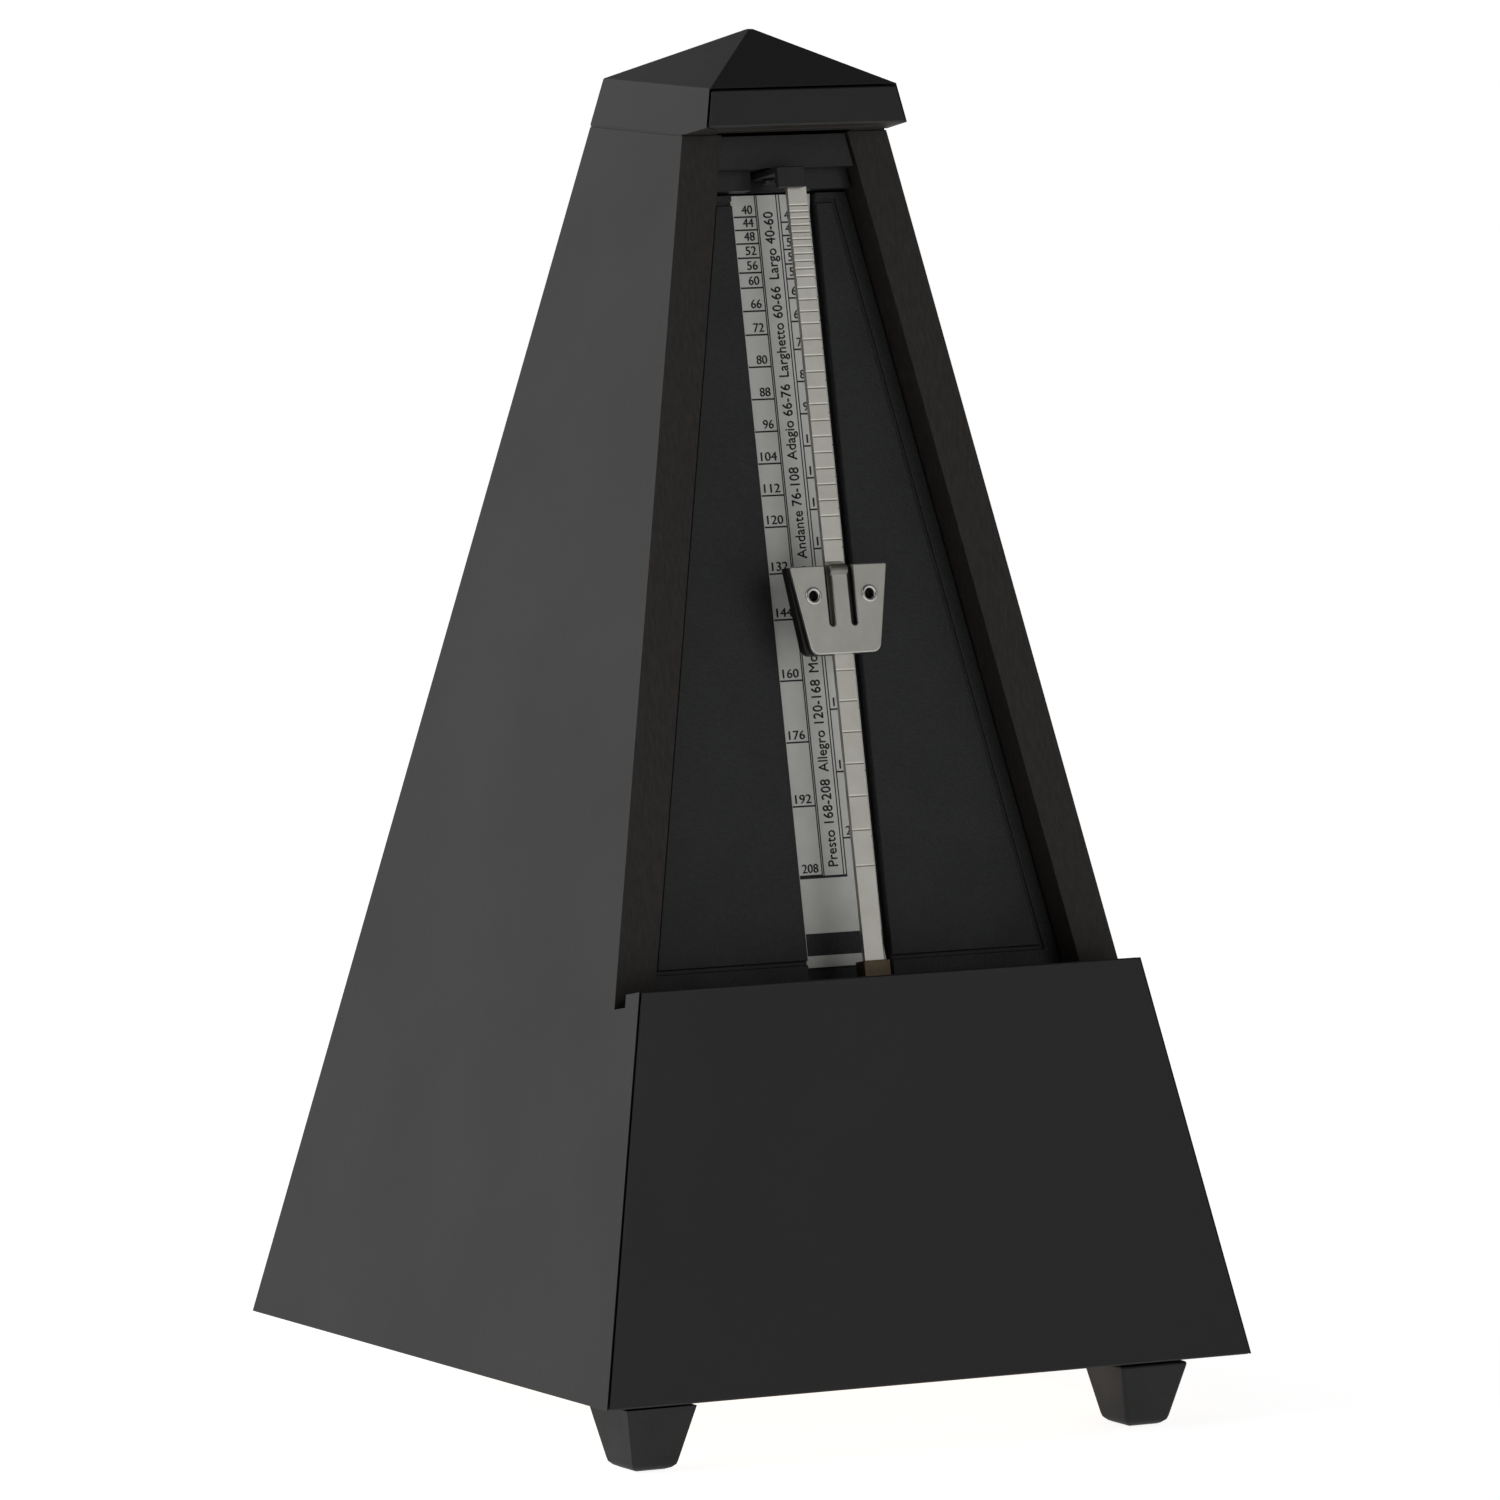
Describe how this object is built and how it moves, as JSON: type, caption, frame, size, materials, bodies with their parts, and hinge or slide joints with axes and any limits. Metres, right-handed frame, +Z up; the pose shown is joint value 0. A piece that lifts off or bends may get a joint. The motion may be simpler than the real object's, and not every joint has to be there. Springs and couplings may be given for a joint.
{
  "type": "metronome",
  "caption": "Key-wound pendulum metronome: tapering black wooden case with an open face, flat notched rod with a sliding weight in front of a tempo scale.",
  "frame": {"origin": "on the surface that the feet stand on, at the middle of the box that holds the whole object, key included", "axes": "+Z up, the scale and pendulum face -Y, the winding key is on the +X side"},
  "size_m": [0.1258, 0.117, 0.2187],
  "materials": {
    "black_lacquer": "satin",
    "bare_wood": "bare",
    "black_plastic": "fine grain",
    "scale_metal": "satin",
    "steel": "nickel, satin",
    "brass": "satin",
    "blued_steel": "blued"
  },
  "bodies": {
    "case": {"left_side_panel": "black_lacquer", "right_side_panel": "black_lacquer", "back_panel": "black_lacquer", "lower_front_panel": "black_lacquer", "top_front_strip": "black_lacquer", "cap": "black_lacquer", "base_board": "bare_wood", "foot_front_left": "black_plastic", "foot_front_right": "black_plastic", "foot_rear": "black_plastic", "dial_panel": "black_plastic", "top_block": "black_plastic", "rod_clip": "black_plastic", "scale_strip": "scale_metal", "foot_screw_front_left": "steel", "foot_screw_front_right": "steel", "foot_screw_rear": "steel", "rod_clip_screw": "steel", "pillar_front_low": "steel", "pillar_front_high": "steel", "pillar_rear_low": "steel", "pillar_rear_high": "steel", "click_screw": "steel", "click_spring_screw": "steel", "movement_screw_left": "steel", "movement_screw_right": "steel", "movement_plate_left": "brass", "movement_plate_right": "brass", "front_cock": "brass", "rear_cock": "brass", "escape_bush": "brass", "key_ring": "brass", "click_spring": "blued_steel"},
    "pendulum": {"pendulum_rod": "steel", "rod_clamp": "blued_steel", "pendulum_staff": "steel", "pallet_front": "steel", "pallet_rear": "steel", "counterweight": "brass", "counterweight_screw": "steel"},
    "sliding_weight": {"bob_front_plate": "steel", "bob_body": "steel", "bob_eyelet_left": "steel", "bob_eyelet_right": "steel"},
    "winding": {"winding_arbor": "steel", "ratchet_wheel": "steel", "winding_key": "brass"},
    "barrel": {"barrel_drum": "brass", "barrel_cover": "brass", "mainspring": "blued_steel"},
    "second": {"second_arbor": "steel", "second_wheel": "brass"},
    "escape": {"escape_arbor": "steel", "crown_wheel": "brass"},
    "click": {"click": "steel"}
  },
  "joints": [
    {"name": "pendulum_swing", "type": "hinge", "parent": "case", "child": "pendulum", "pos_m": [-0.0044, -0.03654, 0.06716], "axis": [0, -0.9791, 0.2033], "range_deg": [-20, 20]},
    {"name": "weight_slide", "type": "slide", "parent": "pendulum", "child": "sliding_weight", "axis": [0, 0.2033, 0.9791], "range_m": [-0.04785, 0.05666]},
    {"name": "winding_turn", "type": "hinge", "parent": "case", "child": "winding", "pos_m": [0.0156, 0.00496, 0.04045], "axis": [1, 0, 0], "continuous": true},
    {"name": "barrel_turn", "type": "hinge", "parent": "case", "child": "barrel", "pos_m": [-0.0094, 0.00496, 0.04045], "axis": [1, 0, 0], "continuous": true},
    {"name": "second_turn", "type": "hinge", "parent": "case", "child": "second", "pos_m": [-0.0044, -0.01623, 0.0483], "axis": [1, 0, 0], "continuous": true},
    {"name": "escape_turn", "type": "hinge", "parent": "case", "child": "escape", "pos_m": [0.0016, -0.01794, 0.0633], "axis": [1, 0, 0], "continuous": true},
    {"name": "click_lift", "type": "hinge", "parent": "case", "child": "click", "pos_m": [0.0123, 0.01946, 0.04345], "axis": [1, 0, 0], "range_deg": [0, 6], "stiffness_Nm_per_rad": 0.002, "springref_deg": -17.19}
  ],
  "couplings": [
    {"joint": "second_turn", "follows": "barrel_turn", "ratio": -4},
    {"joint": "escape_turn", "follows": "barrel_turn", "ratio": 16}
  ]
}
